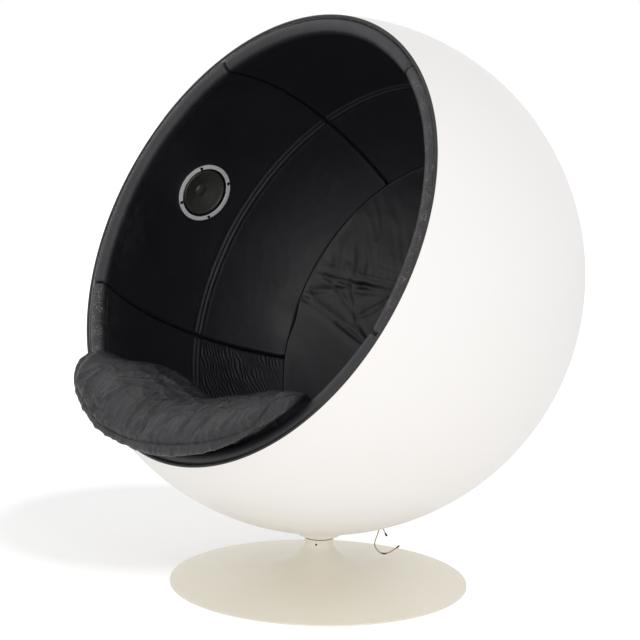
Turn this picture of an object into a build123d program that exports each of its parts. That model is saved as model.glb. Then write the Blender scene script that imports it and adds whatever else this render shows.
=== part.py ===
from build123d import *
import math
import os

# Pod chair. Millimetres and degrees. +Z is up, and the origin is on the floor, on the swivel axis.
# The round mouth of the ball looks along -Y and up.

# ---------------------------------------------------------------- driving dimensions

# Ball and its mouth
ball_radius = 545.0
ball_wall = 6.0
mouth_offset = 232.33           # from the ball's centre to the plane of the mouth
mouth_tilt = 24.8               # how far the mouth looks up

# Lining: leather over foam, glued to the inside of the ball
lining_depth = 35.0             # from the inside of the ball to the face of the leather
leather = 2.0
glue_gap = 0.3
panel_gap = 3.0                 # open joint between two panels
top_panel_half_angle = 37.4     # the top panel's joints, round the mouth's axis from the top
bottom_panel_angle = 109.0      # the bottom panel's joints, round the mouth's axis from the top
wall_end_angle = 126.5          # where the wall panels stop, from the mouth's axis
roll_proud = 4.0                # how far the padded rim stands out of the mouth
tuck_length = 22.0              # leather folded round the rim, behind the foam
welt_width = 6.5
welt_height = 3.2
welt_bevel = 2.0

# Loudspeakers in the side panels
speaker_round_angle = 72.7      # round the mouth's axis, from the top
speaker_axis_angle = 87.3       # from the mouth's axis
speaker_ring_radius = 70.0
speaker_ring_bore = 57.0
speaker_ring_thickness = 3.0
speaker_flange_radius = 67.0
speaker_flange_thickness = 2.0
speaker_board_radius = 78.0
speaker_board_bore = 58.0
speaker_cone_radius = 54.5
speaker_cap_radius = 14.0
speaker_cap_rise = 5.0
speaker_roll_width = 7.0        # soft rolled edge of the cone
speaker_roll_rise = 2.3
speaker_cone_depth = 14.0
speaker_basket_depth = 18.0
speaker_sheet = 1.2             # thickness of cone and basket
speaker_basket_step = 2.0       # how far the basket's floor stays inside the magnet's edge
speaker_magnet_radius = 36.0
speaker_magnet_thickness = 11.0
speaker_magnet_bevel = 1.0
speaker_screw_count = 4
speaker_screw_circle_radius = 63.5
speaker_screw_radius = 1.75
speaker_screw_head_radius = 3.6
speaker_screw_head_height = 1.8
speaker_screw_length = 18.0
speaker_screw_slot_width = 0.8
speaker_screw_angle = 45.0      # where the first screw sits on its circle

# Swivel: hub, spindle and fastenings
spindle_radius = 15.0
spindle_end_bevel = 1.0
spindle_head_radius = 22.0
spindle_head_height = 6.0
spindle_head_round = 1.5
spindle_end_height = 7.0
hub_radius = 46.0
hub_height = 20.9               # from its underside to the lowest point of the ball
hub_round = 2.0
hub_neck_radius = 32.0
hub_neck_height = 5.0
hub_clearance = 0.1             # between hub, ball and plate
plate_radius = 70.0
plate_thickness = 13.0          # in its middle
plate_bevel = 1.0
bolt_circle_radius = 35.0
bolt_angle = 45.0               # where the first bolt sits on its circle
bolt_radius = 4.0
bolt_head_across_flats = 13.0
bolt_head_height = 5.3
bolt_length = 33.0
bolt_count = 4
bolt_washer_radius = 8.0
bolt_washer_thickness = 1.6
retaining_washer_radius = 26.0
retaining_washer_thickness = 3.0
nut_across_flats = 41.0
nut_height = 9.0

# Base
base_radius = 321.0
base_edge_height = 4.3
base_slope = 0.12               # the foot rises this much per millimetre towards the neck
base_flare_rise = 41.0
base_flare_reach = 33.0
base_wall = 5.0
base_foot_width = 22.0
base_neck_radius = 31.0
base_neck_height = 97.0
base_neck_fillet = 9.0
boss_radius = 27.0
boss_bottom_height = 26.0
floor_ring_width = 14.0
floor_ring_height = 1.2
bush_radius = 20.0
bush_flange_radius = 25.0
bush_flange_thickness = 3.5
bush_length = 26.0
thrust_washer_radius = 30.5
thrust_washer_thickness = 1.9
set_screw_radius = 2.3
set_screw_drop = 9.0            # from the top of the neck to its middle
set_screw_recess = 0.8
set_screw_dimple = 1.5          # how deep it reaches into the bush
set_screw_azimuth = -53.0       # round the neck, from +X
hex_socket_across_flats = 2.5

# Clearances
fit_clearance = 0.05            # running and press fits, on the radius
hole_clearance = 0.3            # bolts and screws in their holes, on the radius
face_gap = 0.1                  # between flat faces that turn on each other
soft_gap = 0.3                  # between leather and foam
pocket_gap = 2.0                # foam cut back round hard pieces
cut_past = 1.0                  # how far a cutting shape reaches past what it cuts

# Wires and the loose lead
wire_radius = 1.2
wire_channel_gap = 0.4
lead_radius = 1.25
grommet_waist_radius = 3.5
grommet_flange_radius = 5.5
grommet_flange_thickness = 1.6
lead_exit_y = 160.0             # how far behind the spindle the lead leaves the ball
bend_share = 0.45               # share of a run that a bend of the lead may take
sleeve_wall = 0.6
end_sleeve_length = 9.0
end_sleeve_past_end = 1.5
connector_size = (3.2, 4.4, 8.0)
connector_round = 0.6

# Route of the lead under the ball, from its exit: to the side, backwards, and up from the ball's lowest point.
# The sideways axis points to the right of someone who looks at the right front of the chair.
lead_view_angle = 48.5
lead_points = [
    (4.2, 5.8, -0.5),
    (15.5, 3.0, -23.0),
    (9.0, 3.0, -45.0),
    (1.5, 0.0, -65.0),
    (9.5, 1.5, -79.5),
    (21.5, 1.5, -87.5),
    (33.0, 2.5, -86.0),
    (46.0, 4.0, -78.5),
    (58.0, 5.5, -69.5),
]
stub_points = [
    (6.3, 3.5, -0.5),
    (17.5, -1.5, -21.0),
    (26.5, -1.0, -39.0),
]

# Seat cushion
cushion_half_width = 339.0
cushion_thickness = 126.0
cushion_clearance = 3.0         # between cushion and lining
cushion_overhang = 58.0         # how far it reaches out of the mouth, in the middle
cushion_side_overhang = 20.0    # and at its ends
cushion_drop = 1.0              # how far its lowest edge lies outside the mouth's edge
cushion_rim_rest = 10.0         # where the overhang starts, in front of the rim's middle
cushion_nose = 14.0             # bulge of its front edge
cushion_lean = 2.0              # how far the top of the front edge stands past the bottom
cushion_front_swell = (7.0, -10.0)    # bulge of the front between edge and crest, forwards and down
cushion_depth_angle = 64.0      # how far it reaches back from the rim, round the ball's centre
cushion_side_angle = 6.0        # and at its ends
cushion_back_thickness = 52.0
cushion_top_share = 0.93        # thickness halfway to the back, as a share of the crest's
cushion_side_thinning = 0.93    # share of the thickness that is lost towards the sides
cushion_shoulder = 36.0         # how much thicker it is halfway to the sides
cushion_corner = 10             # how squarely the sides end, from 2 for an ellipse upwards
cushion_sections = (0.27, 0.53, 0.75, 0.88, 0.95, 0.985)    # shares of the half width

# ---------------------------------------------------------------- worked out from them

ball_inside = ball_radius - ball_wall
lining_outside = ball_inside - glue_gap
lining_face = ball_inside - lining_depth
mouth_radius = math.sqrt(ball_radius**2 - mouth_offset**2)
roll_radius = (lining_outside - lining_face) / 2
roll_middle = (lining_outside + lining_face) / 2
roll_angle = math.degrees(math.acos((mouth_offset + roll_proud - roll_radius) / roll_middle))

hub_bottom = base_neck_height + thrust_washer_thickness + 2 * face_gap
ball_bottom = hub_bottom + hub_height
ball_centre_height = ball_bottom + ball_radius
plate_top = ball_bottom + ball_wall + plate_thickness

mouth_normal = Vector(0, -math.cos(math.radians(mouth_tilt)), math.sin(math.radians(mouth_tilt)))
ball_centre = Vector(0, 0, ball_centre_height)
mouth_frame = Plane(origin=ball_centre, x_dir=(1, 0, 0), z_dir=mouth_normal)


def save(node, shape):
    """Write one sub-part to its own file."""
    export_step(shape, os.path.join("parts", node + ".step"))


# ---------------------------------------------------------------- profiles round the mouth's axis

def at(radius, angle):
    """Point of the half plane through the mouth's axis, at an angle from that axis."""
    return Vector(radius * math.sin(math.radians(angle)), 0, radius * math.cos(math.radians(angle)))


def arc(radius, start, end):
    """Arc round the ball's centre between two angles."""
    return ThreePointArc(at(radius, start), at(radius, (start + end) / 2), at(radius, end))


def lining_profile(inside, outside, end_angle, step_outside=None, step_angle=None):
    """Section of a wall panel: two arcs round the ball's centre, joined by a half-round rim.

    With a step, the outer arc moves out at an angle, where the leather folded round the rim ends.
    """
    nose = (outside - inside) / 2
    centre = at((outside + inside) / 2, roll_angle)
    outwards = at(1, roll_angle)
    forwards = Vector(-outwards.Z, 0, outwards.X)
    tip = centre + forwards * nose
    inner_shoulder = centre + (forwards - outwards).normalized() * nose
    outer_shoulder = centre + (forwards + outwards).normalized() * nose
    edges = [
        arc(inside, end_angle, roll_angle),
        ThreePointArc(at(inside, roll_angle), inner_shoulder, tip),
        ThreePointArc(tip, outer_shoulder, at(outside, roll_angle)),
    ]
    last_outside = outside
    if step_outside:
        edges += [
            arc(outside, roll_angle, step_angle),
            Line(at(outside, step_angle), at(step_outside, step_angle)),
            arc(step_outside, step_angle, end_angle),
        ]
        last_outside = step_outside
    else:
        edges.append(arc(outside, roll_angle, end_angle))
    edges.append(Line(at(last_outside, end_angle), at(inside, end_angle)))
    return make_face(edges)


def cap_profile(inside, outside, start_angle):
    """Section of a cap round the far end of the mouth's axis."""
    edges = [
        arc(outside, start_angle, 180),
        Line(at(outside, 180), at(inside, 180)),
        arc(inside, 180, start_angle),
        Line(at(inside, start_angle), at(outside, start_angle)),
    ]
    return make_face(edges)


def turned(profile, start, end):
    """Turn a section round the mouth's axis. Angles run from the top towards +X."""
    placed = Rot(0, 0, 90 - end) * profile
    return revolve(placed, Axis.Z, end - start)


def gap_angle(width, radius):
    """Angle that a width takes up on a radius."""
    return math.degrees(width / radius)


tuck_end_angle = roll_angle + gap_angle(tuck_length, lining_outside)


# ---------------------------------------------------------------- ball

def radial_frame(direction):
    """Frame at the ball's centre that looks outwards along a direction, in the mouth's frame."""
    towards_back = Vector(0, 0, -1)
    along = (towards_back - direction * direction.dot(towards_back)).normalized()
    return Plane(origin=(0, 0, 0), x_dir=along, z_dir=direction)


def speaker_direction(side):
    """Direction of a loudspeaker from the ball's centre. Side is -1 for left, 1 for right."""
    round_angle = math.radians(side * speaker_round_angle)
    axis_angle = math.radians(speaker_axis_angle)
    return Vector(math.sin(axis_angle) * math.sin(round_angle),
                  math.sin(axis_angle) * math.cos(round_angle),
                  math.cos(axis_angle))


def to_mouth_frame(direction):
    """A world direction, given in the mouth's frame."""
    return Vector(direction.dot(mouth_frame.x_dir), direction.dot(mouth_frame.y_dir),
                  direction.dot(mouth_frame.z_dir))


exit_world = Vector(0, lead_exit_y, -math.sqrt(ball_radius**2 - lead_exit_y**2)) / ball_radius
exit_direction = to_mouth_frame(exit_world)
down_direction = to_mouth_frame(Vector(0, 0, -1))


def bolt_places():
    """Places of the hub bolts round the swivel axis."""
    return PolarLocations(bolt_circle_radius, bolt_count, start_angle=bolt_angle)


def drilled(radius, bottom, top):
    """The hub's bolt holes, from one height to another."""
    hole = Pos(0, 0, bottom) * Cylinder(radius, top - bottom, align=(Align.CENTER, Align.CENTER, Align.MIN))
    return [place * hole for place in bolt_places()]


def disc(radius, bottom, top):
    """Upright cylinder on the swivel axis between two heights."""
    return Pos(0, 0, bottom) * Cylinder(radius, top - bottom, align=(Align.CENTER, Align.CENTER, Align.MIN))


def make_ball_shell():
    """Glass-fibre ball with its mouth, the hub's holes and the lead's hole."""
    inner_cut = math.degrees(math.acos(mouth_offset / ball_inside))
    outer_cut = math.degrees(math.acos(mouth_offset / ball_radius))
    edges = [
        arc(ball_radius, outer_cut, 180),
        Line(at(ball_radius, 180), at(ball_inside, 180)),
        arc(ball_inside, 180, inner_cut),
        Line(at(ball_inside, inner_cut), at(ball_radius, outer_cut)),
    ]
    shell = revolve(make_face(edges), Axis.Z, 360)
    lead_hole = radial_frame(exit_direction) * Pos(0, 0, ball_radius - ball_wall / 2) * Cylinder(
        grommet_waist_radius + hole_clearance, 4 * ball_wall)
    shell = mouth_frame * (shell - lead_hole)
    shell -= disc(spindle_radius + hole_clearance, hub_bottom, plate_top)
    shell -= drilled(bolt_radius + hole_clearance, hub_bottom, plate_top)
    return shell


def make_rim_welt():
    """Black edging that covers the lip of the shell."""
    outer = mouth_radius
    inner = mouth_radius - welt_width
    base = mouth_offset + face_gap
    crown = base + welt_height
    shoulder = crown - welt_bevel
    outline = [
        (inner, base),
        (outer, base),
        (outer, shoulder),
        (outer - welt_bevel, crown),
        (inner + welt_bevel, crown),
        (inner, shoulder),
    ]
    section = make_face(Polyline([(x, 0, z) for x, z in outline], close=True))
    return mouth_frame * revolve(section, Axis.Z, 360)


# ---------------------------------------------------------------- lining

def panel_spans():
    """Start and end of each wall panel, round the mouth's axis from the top."""
    return {
        "top": (-top_panel_half_angle, top_panel_half_angle),
        "right": (top_panel_half_angle, bottom_panel_angle),
        "bottom": (bottom_panel_angle, 360 - bottom_panel_angle),
        "left": (-bottom_panel_angle, -top_panel_half_angle),
    }


def wall_panel(start, end):
    """Foam and leather cover of one wall panel, before the holes are cut."""
    start += gap_angle(panel_gap / 2, lining_face)
    end -= gap_angle(panel_gap / 2, lining_face)
    skin = gap_angle(leather, lining_face)
    slack = gap_angle(leather + soft_gap, lining_face)
    blank = turned(lining_profile(lining_face, lining_outside, wall_end_angle), start, end)
    hollow_section = lining_profile(lining_face + leather, lining_outside - leather, wall_end_angle - skin,
                                    ball_radius, tuck_end_angle)
    cover = blank - turned(hollow_section, start + skin, end - skin)
    foam_section = lining_profile(lining_face + leather + soft_gap, lining_outside - leather - soft_gap,
                                  wall_end_angle - slack, lining_outside, tuck_end_angle + skin)
    foam = turned(foam_section, start + slack, end - slack)
    return foam, cover


def back_pad():
    """Foam and leather cover of the round pad behind the wall panels."""
    start = wall_end_angle + gap_angle(panel_gap, lining_face)
    skin = gap_angle(leather, lining_face)
    slack = gap_angle(leather + soft_gap, lining_face)
    blank = turned(cap_profile(lining_face, lining_outside, start), 0, 360)
    hollow = turned(cap_profile(lining_face + leather, ball_radius, start + skin), 0, 360)
    foam = turned(cap_profile(lining_face + leather + soft_gap, lining_outside, start + slack), 0, 360)
    return foam, blank - hollow


def radial_hole(direction, radius, inside, outside):
    """Round hole along a direction from the ball's centre."""
    return radial_frame(direction) * Pos(0, 0, inside) * Cylinder(
        radius, outside - inside, align=(Align.CENTER, Align.CENTER, Align.MIN))


wire_track_radius = ball_inside - wire_radius - wire_channel_gap
wire_start_offset = gap_angle(speaker_board_bore - 3 * wire_radius, wire_track_radius)
wire_end_offset = gap_angle(grommet_flange_radius + 2 * wire_radius, wire_track_radius)


def wire_arc(side, radius, start_offset, end_offset):
    """Wire along the inside of the ball, on the shortest way from a loudspeaker to the lead's hole."""
    start = speaker_direction(side)
    normal = start.cross(exit_direction).normalized()
    sweep_angle = math.degrees(math.acos(start.dot(exit_direction))) - start_offset - end_offset
    first = start.rotate(Axis((0, 0, 0), normal), start_offset)
    section = Plane(origin=first * wire_track_radius, x_dir=first, z_dir=normal.cross(first)) * Circle(radius)
    return revolve(section, Axis((0, 0, 0), normal), sweep_angle)


def wire_channel(side):
    """Channel for a wire in whatever lies against the inside of the ball."""
    end_room = gap_angle(pocket_gap, wire_track_radius)
    return wire_arc(side, wire_radius + wire_channel_gap, wire_start_offset - end_room,
                    wire_end_offset - end_room)


def make_lining():
    """All foam pieces and leather covers, by node name, in the mouth's frame."""
    pieces = {}
    for name, (start, end) in panel_spans().items():
        pieces["foam_" + name], pieces["cover_" + name] = wall_panel(start, end)
    pieces["foam_back"], pieces["cover_back"] = back_pad()
    for name, side in (("left", -1), ("right", 1)):
        direction = speaker_direction(side)
        pieces["foam_" + name] -= radial_hole(direction, speaker_board_radius + pocket_gap,
                                              lining_face - lining_depth, ball_radius)
        pieces["cover_" + name] -= radial_hole(direction, speaker_flange_radius + hole_clearance,
                                               lining_face - lining_depth, ball_radius)
        for panel in (name, "bottom", "back"):
            pieces["foam_" + panel] -= wire_channel(side)
            pieces["cover_" + panel] -= wire_channel(side)
    hub_top = ball_centre_height - (plate_top + bolt_washer_thickness + bolt_head_height)
    pieces["foam_bottom"] -= radial_hole(down_direction, plate_radius + pocket_gap,
                                         hub_top - pocket_gap, ball_radius)
    pieces["foam_back"] -= radial_hole(exit_direction, grommet_flange_radius + pocket_gap,
                                       ball_inside - grommet_flange_thickness - pocket_gap, ball_radius)
    return pieces


# ---------------------------------------------------------------- loudspeakers

ring_back = math.sqrt(lining_face**2 - speaker_ring_radius**2) - 2 * soft_gap
flange_back = ring_back + hub_clearance + speaker_flange_thickness
board_front = flange_back + hub_clearance


def ring(outer, inner, bottom, top):
    """Flat ring on a speaker's axis between two distances from the ball's centre."""
    return disc(outer, bottom, top) - disc(inner, bottom - cut_past, top + cut_past)


def screw_places():
    """Places of a loudspeaker's screws round its axis."""
    return PolarLocations(speaker_screw_circle_radius, speaker_screw_count, start_angle=speaker_screw_angle)


def screw_holes(radius, bottom, top):
    """Holes for a loudspeaker's screws."""
    return [place * disc(radius, bottom, top) for place in screw_places()]


def make_speaker_ring():
    """Light grey ring on the leather, with softened front edges."""
    front = ring_back - speaker_ring_thickness
    body = ring(speaker_ring_radius, speaker_ring_bore, front, ring_back)
    body = fillet(body.edges().group_by(Axis.Z)[0], speaker_ring_thickness / 3)
    return body - screw_holes(speaker_screw_radius + hole_clearance, front - cut_past, ring_back + cut_past)


def make_speaker_basket():
    """Pressed steel basket with its flange."""
    flange_front = ring_back + hub_clearance
    flange = ring(speaker_flange_radius, speaker_cone_radius, flange_front, flange_back)
    deep = flange_front + speaker_basket_depth
    neck = speaker_magnet_radius - speaker_basket_step
    rim = speaker_board_bore - 2 * soft_gap
    outline = [
        (speaker_cone_radius, flange_front),
        (rim, flange_front),
        (rim, flange_back + speaker_sheet),
        (neck + speaker_sheet, deep),
        (0, deep),
        (0, deep - speaker_sheet),
        (neck, deep - speaker_sheet),
        (speaker_cone_radius, flange_back + speaker_sheet),
    ]
    dish = revolve(make_face(Polyline([(x, 0, z) for x, z in outline], close=True)), Axis.Z, 360)
    return flange + dish - screw_holes(speaker_screw_radius + hole_clearance, flange_front - cut_past,
                                       flange_back + cut_past)


def make_speaker_cone():
    """Cone with its rolled edge and dust cap, as one thin piece."""
    edge = speaker_cone_radius - soft_gap
    roll_inner = edge - speaker_roll_width
    roll_middle_radius = edge - speaker_roll_width / 2
    front = ring_back + hub_clearance + speaker_sheet
    back = front + speaker_cone_depth
    cap = speaker_cap_radius
    cap_sphere = (cap**2 + speaker_cap_rise**2) / (2 * speaker_cap_rise)
    cap_half_rise = cap_sphere - math.sqrt(cap_sphere**2 - (cap / 2)**2)

    def sheet_line(shift):
        """Line of the sheet from its edge to the middle, moved back by a shift."""
        tip = back - speaker_cap_rise + shift
        return [
            ThreePointArc((edge, 0, front + shift), (roll_middle_radius, 0, front - speaker_roll_rise + shift),
                          (roll_inner, 0, front + shift)),
            Line((roll_inner, 0, front + shift), (cap, 0, back + shift)),
            ThreePointArc((cap, 0, back + shift), (cap / 2, 0, tip + cap_half_rise), (0, 0, tip)),
        ]

    tip = back - speaker_cap_rise
    ends = [
        Line((0, 0, tip), (0, 0, tip + speaker_sheet)),
        Line((edge, 0, front), (edge, 0, front + speaker_sheet)),
    ]
    return revolve(make_face(sheet_line(0) + sheet_line(speaker_sheet) + ends), Axis.Z, 360)


def make_speaker_magnet():
    """Magnet behind the basket."""
    front = ring_back + hub_clearance + speaker_basket_depth + face_gap
    body = disc(speaker_magnet_radius, front, front + speaker_magnet_thickness)
    return chamfer(body.edges().filter_by(GeomType.CIRCLE), speaker_magnet_bevel)


def make_speaker_board(side):
    """Round plywood block between basket and shell, with the wire's channel."""
    block = ring(speaker_board_radius, speaker_board_bore, board_front, ball_radius)
    block &= Sphere(lining_outside)
    block -= Sphere(lining_face + leather + soft_gap) - disc(
        speaker_flange_radius + hole_clearance, 0, ball_radius)
    groove = radial_frame(speaker_direction(side)).to_local_coords(wire_channel(side))
    block -= screw_holes(speaker_screw_radius + fit_clearance, board_front - cut_past,
                         ring_back - speaker_ring_thickness + speaker_screw_length + cut_past)
    return block - groove


def make_speaker_screws():
    """Four round-head screws with cross slots."""
    front = ring_back - speaker_ring_thickness
    top = front - speaker_screw_head_height
    shank = disc(speaker_screw_radius, front, front + speaker_screw_length)
    head = disc(speaker_screw_head_radius, top, front)
    head = fillet(head.edges().group_by(Axis.Z)[0], speaker_screw_head_height / 2)
    slot_depth = speaker_screw_head_height / 2
    slot = Pos(0, 0, top) * Box(speaker_screw_head_radius, speaker_screw_slot_width, 2 * slot_depth)
    screw = head + shank - slot - Rot(0, 0, 90) * slot
    return Compound(children=[place * screw for place in screw_places()])


def make_speakers():
    """Pieces of both loudspeakers, by node name, in the mouth's frame."""
    pieces = {}
    for name, side in (("left", -1), ("right", 1)):
        frame = radial_frame(speaker_direction(side))
        pieces["speaker_ring_" + name] = frame * make_speaker_ring()
        pieces["speaker_basket_" + name] = frame * make_speaker_basket()
        pieces["speaker_cone_" + name] = frame * make_speaker_cone()
        pieces["speaker_magnet_" + name] = frame * make_speaker_magnet()
        pieces["speaker_board_" + name] = frame * make_speaker_board(side)
        pieces["speaker_screws_" + name] = frame * make_speaker_screws()
        pieces["speaker_wire_" + name] = wire_arc(side, wire_radius, wire_start_offset, wire_end_offset)
    return pieces


# ---------------------------------------------------------------- hub and spindle

def make_hub_flange():
    """Collar under the ball, hollowed to the ball's curve, with threaded holes for the bolts."""
    body = disc(hub_neck_radius, hub_bottom, hub_bottom + hub_neck_height)
    body += disc(hub_radius, hub_bottom + hub_neck_height, ball_bottom + hub_radius)
    body -= Pos(ball_centre) * Sphere(ball_radius + hub_clearance)
    body -= disc(spindle_radius + fit_clearance, hub_bottom - cut_past, ball_centre_height)
    bolt_bottom = plate_top + bolt_washer_thickness - bolt_length
    body -= drilled(bolt_radius + fit_clearance, bolt_bottom - cut_past, ball_centre_height)
    lower_edge = body.edges().filter_by(GeomType.CIRCLE).filter_by(
        lambda edge: abs(edge.radius - hub_radius) < 0.01).sort_by(Axis.Z)[0]
    return fillet(lower_edge, hub_round)


def make_inner_plate():
    """Plate inside the ball that clamps the shell to the hub."""
    body = disc(plate_radius, ball_centre_height - ball_inside, plate_top)
    body &= Pos(ball_centre) * Sphere(ball_inside - hub_clearance)
    body -= disc(spindle_radius + fit_clearance, 0, ball_centre_height)
    body -= drilled(bolt_radius + hole_clearance, 0, ball_centre_height)
    return chamfer(body.edges().group_by(Axis.Z)[-1].sort_by(SortBy.RADIUS)[-1], plate_bevel)


def make_spindle():
    """Steel spindle with its head on the inner plate."""
    shaft = disc(spindle_radius, spindle_end_height, plate_top)
    shaft = chamfer(shaft.edges().group_by(Axis.Z)[0], spindle_end_bevel)
    head = disc(spindle_head_radius, plate_top, plate_top + spindle_head_height)
    head = fillet(head.edges().group_by(Axis.Z)[-1], spindle_head_round)
    return shaft + head


def make_hub_bolts():
    """Hexagon bolts through plate and shell into the hub."""
    head_bottom = plate_top + bolt_washer_thickness
    head = Pos(0, 0, head_bottom) * extrude(
        RegularPolygon(bolt_head_across_flats / 2, 6, major_radius=False), bolt_head_height)
    shank = disc(bolt_radius, head_bottom - bolt_length, head_bottom)
    return Compound(children=[place * (head + shank) for place in bolt_places()])


def make_hub_washers():
    """Washers under the bolts' heads."""
    washer = ring(bolt_washer_radius, bolt_radius + hole_clearance, plate_top,
                  plate_top + bolt_washer_thickness)
    return Compound(children=[place * washer for place in bolt_places()])


lower_bush_bottom = boss_bottom_height - bush_flange_thickness
retaining_washer_top = lower_bush_bottom - face_gap
nut_top = retaining_washer_top - retaining_washer_thickness


def make_retaining_washer():
    """Washer under the lower bush that keeps the ball on the base."""
    return ring(retaining_washer_radius, spindle_radius + fit_clearance, nut_top, retaining_washer_top)


def make_retaining_nut():
    """Hexagon nut on the end of the spindle."""
    body = extrude(RegularPolygon(nut_across_flats / 2, 6, major_radius=False), nut_height)
    body = Pos(0, 0, nut_top - nut_height) * body
    return body - disc(spindle_radius + fit_clearance, 0, nut_top + cut_past)


# ---------------------------------------------------------------- base

def foot_top(radius):
    """Height of the foot's upper side at a distance from the swivel axis."""
    rise = base_flare_rise * math.exp(-(radius - base_neck_radius) / base_flare_reach)
    return base_edge_height + base_slope * (base_radius - radius) + rise


def foot_under(radius):
    """Height of the foot's underside, one wall below the upper side."""
    steepness = base_slope + (base_flare_rise / base_flare_reach) * math.exp(
        -(radius - base_neck_radius) / base_flare_reach)
    return foot_top(radius) - base_wall * math.sqrt(1 + steepness**2)


def make_base_pedestal():
    """Cast trumpet foot with its neck and the boss that holds the bushes."""
    neck = base_neck_radius
    bore = bush_radius + fit_clearance
    inner_end = base_radius - base_foot_width
    shares = (0, 0.04, 0.1, 0.2, 0.36, 0.62, 1)
    outer_radii = [neck + share * (base_radius - neck) for share in shares]
    inner_radii = [boss_radius + share * (inner_end - boss_radius) for share in shares]
    foot_bottom = floor_ring_height
    edges = [
        Line((bore, 0, boss_bottom_height), (bore, 0, base_neck_height)),
        Line((bore, 0, base_neck_height), (neck, 0, base_neck_height)),
        Line((neck, 0, base_neck_height), (neck, 0, foot_top(neck))),
        Spline([(r, 0, foot_top(r)) for r in outer_radii]),
        Line((base_radius, 0, foot_top(base_radius)), (base_radius, 0, foot_bottom)),
        Line((base_radius, 0, foot_bottom), (inner_end, 0, foot_bottom)),
        Line((inner_end, 0, foot_bottom), (inner_end, 0, foot_under(inner_end))),
        Spline([(r, 0, foot_under(r)) for r in reversed(inner_radii)]),
        Line((boss_radius, 0, foot_under(boss_radius)), (boss_radius, 0, boss_bottom_height)),
        Line((boss_radius, 0, boss_bottom_height), (bore, 0, boss_bottom_height)),
    ]
    body = revolve(make_face(edges), Axis.Z, 360)
    flare_start = body.edges().filter_by(GeomType.CIRCLE).filter_by(
        lambda edge: abs(edge.radius - neck) < 0.01 and abs(edge.center().Z - foot_top(neck)) < 0.01)
    body = fillet(flare_start, base_neck_fillet)
    body -= disc(bush_flange_radius + fit_clearance, base_neck_height - bush_flange_thickness,
                 base_neck_height + cut_past)
    return body - set_screw_place() * Cylinder(set_screw_radius + fit_clearance, 2 * base_neck_radius,
                                               align=(Align.CENTER, Align.CENTER, Align.MIN))


set_screw_seat = bush_radius - set_screw_dimple


def set_screw_place():
    """Frame on the bush's wall that looks outwards through the neck."""
    angle = math.radians(set_screw_azimuth)
    outwards = Vector(math.cos(angle), math.sin(angle), 0)
    height = base_neck_height - set_screw_drop
    return Plane(origin=outwards * set_screw_seat + Vector(0, 0, height), z_dir=outwards)


def make_set_screw():
    """Grub screw that locks the upper bush in the neck."""
    length = base_neck_radius - set_screw_recess - set_screw_seat - face_gap
    body = Pos(0, 0, face_gap) * Cylinder(set_screw_radius, length, align=(Align.CENTER, Align.CENTER, Align.MIN))
    socket = Pos(0, 0, length / 2) * extrude(
        RegularPolygon(hex_socket_across_flats / 2, 6, major_radius=False), length)
    return set_screw_place() * (body - socket)


def make_lower_bush():
    """Flanged bush at the bottom of the boss."""
    sleeve = disc(bush_radius, lower_bush_bottom, boss_bottom_height + bush_length)
    flange = disc(bush_flange_radius, lower_bush_bottom, boss_bottom_height)
    return sleeve + flange - disc(spindle_radius + fit_clearance, 0, ball_centre_height)


def make_upper_bush():
    """Flanged bush at the top of the neck, with a dimple for the set screw."""
    sleeve = disc(bush_radius, base_neck_height - bush_length, base_neck_height)
    flange = disc(bush_flange_radius, base_neck_height - bush_flange_thickness, base_neck_height)
    body = sleeve + flange - disc(spindle_radius + fit_clearance, 0, ball_centre_height)
    return body - set_screw_place() * Cylinder(set_screw_radius + fit_clearance, base_neck_radius,
                                               align=(Align.CENTER, Align.CENTER, Align.MIN))


def make_thrust_washer():
    """Washer that the ball turns on."""
    return ring(thrust_washer_radius, spindle_radius + hole_clearance, base_neck_height,
                base_neck_height + thrust_washer_thickness)


def make_floor_ring():
    """Rubber ring that the foot stands on."""
    middle = base_radius - base_foot_width / 2
    return ring(middle + floor_ring_width / 2, middle - floor_ring_width / 2, 0, floor_ring_height)


# ---------------------------------------------------------------- lead under the ball

view_angle = math.radians(lead_view_angle)
sideways = Vector(math.cos(view_angle), math.sin(view_angle), 0)
backwards = Vector(-math.sin(view_angle), math.cos(view_angle), 0)
exit_point = ball_centre + exit_world * (ball_radius + hub_clearance + grommet_flange_thickness)


def lead_place(point):
    """World place of a route point, which is given from the lead's exit."""
    across, behind, up = point
    under_exit = Vector(exit_point.X, exit_point.Y, ball_bottom)
    return under_exit + sideways * across + backwards * behind + Vector(0, 0, up)


def route_with_arcs(points):
    """Straight runs joined by tangent arcs, each as large as its two runs allow."""
    radii = []
    for before, here, after in zip(points, points[1:], points[2:]):
        turn = (here - before).get_angle(after - here)
        shorter = min((here - before).length, (after - here).length)
        radii.append(bend_share * shorter / math.tan(math.radians(turn / 2)))
    return FilletPolyline(*points, radius=radii), radii


def tube(path, outer, inner=0.0):
    """Round tube or wire along a path."""
    section = Circle(outer)
    if inner:
        section -= Circle(inner)
    start = Plane(origin=path @ 0, z_dir=path % 0)
    return sweep(start * section, path)


def make_lead(name, start, points):
    """One free wire of the lead, with its radii and volume printed."""
    path, radii = route_with_arcs([start] + [lead_place(point) for point in points])
    wire = tube(path, lead_radius)
    section_volume = math.pi * lead_radius**2 * path.length
    print(name, "radii", [round(radius, 1) for radius in radii], "length", round(path.length, 1),
          "volume share", round(wire.volume / section_volume, 4))
    return wire, path


def make_grommet():
    """Rubber grommet in the lead's hole, in the mouth's frame."""
    inner_top = ball_inside - 2 * hub_clearance
    outer_bottom = ball_radius + hub_clearance
    body = disc(grommet_waist_radius, inner_top - cut_past, outer_bottom + cut_past)
    body += disc(grommet_flange_radius, inner_top - grommet_flange_thickness, inner_top)
    body += disc(grommet_flange_radius, outer_bottom, outer_bottom + grommet_flange_thickness)
    return radial_frame(exit_direction) * body


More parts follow.
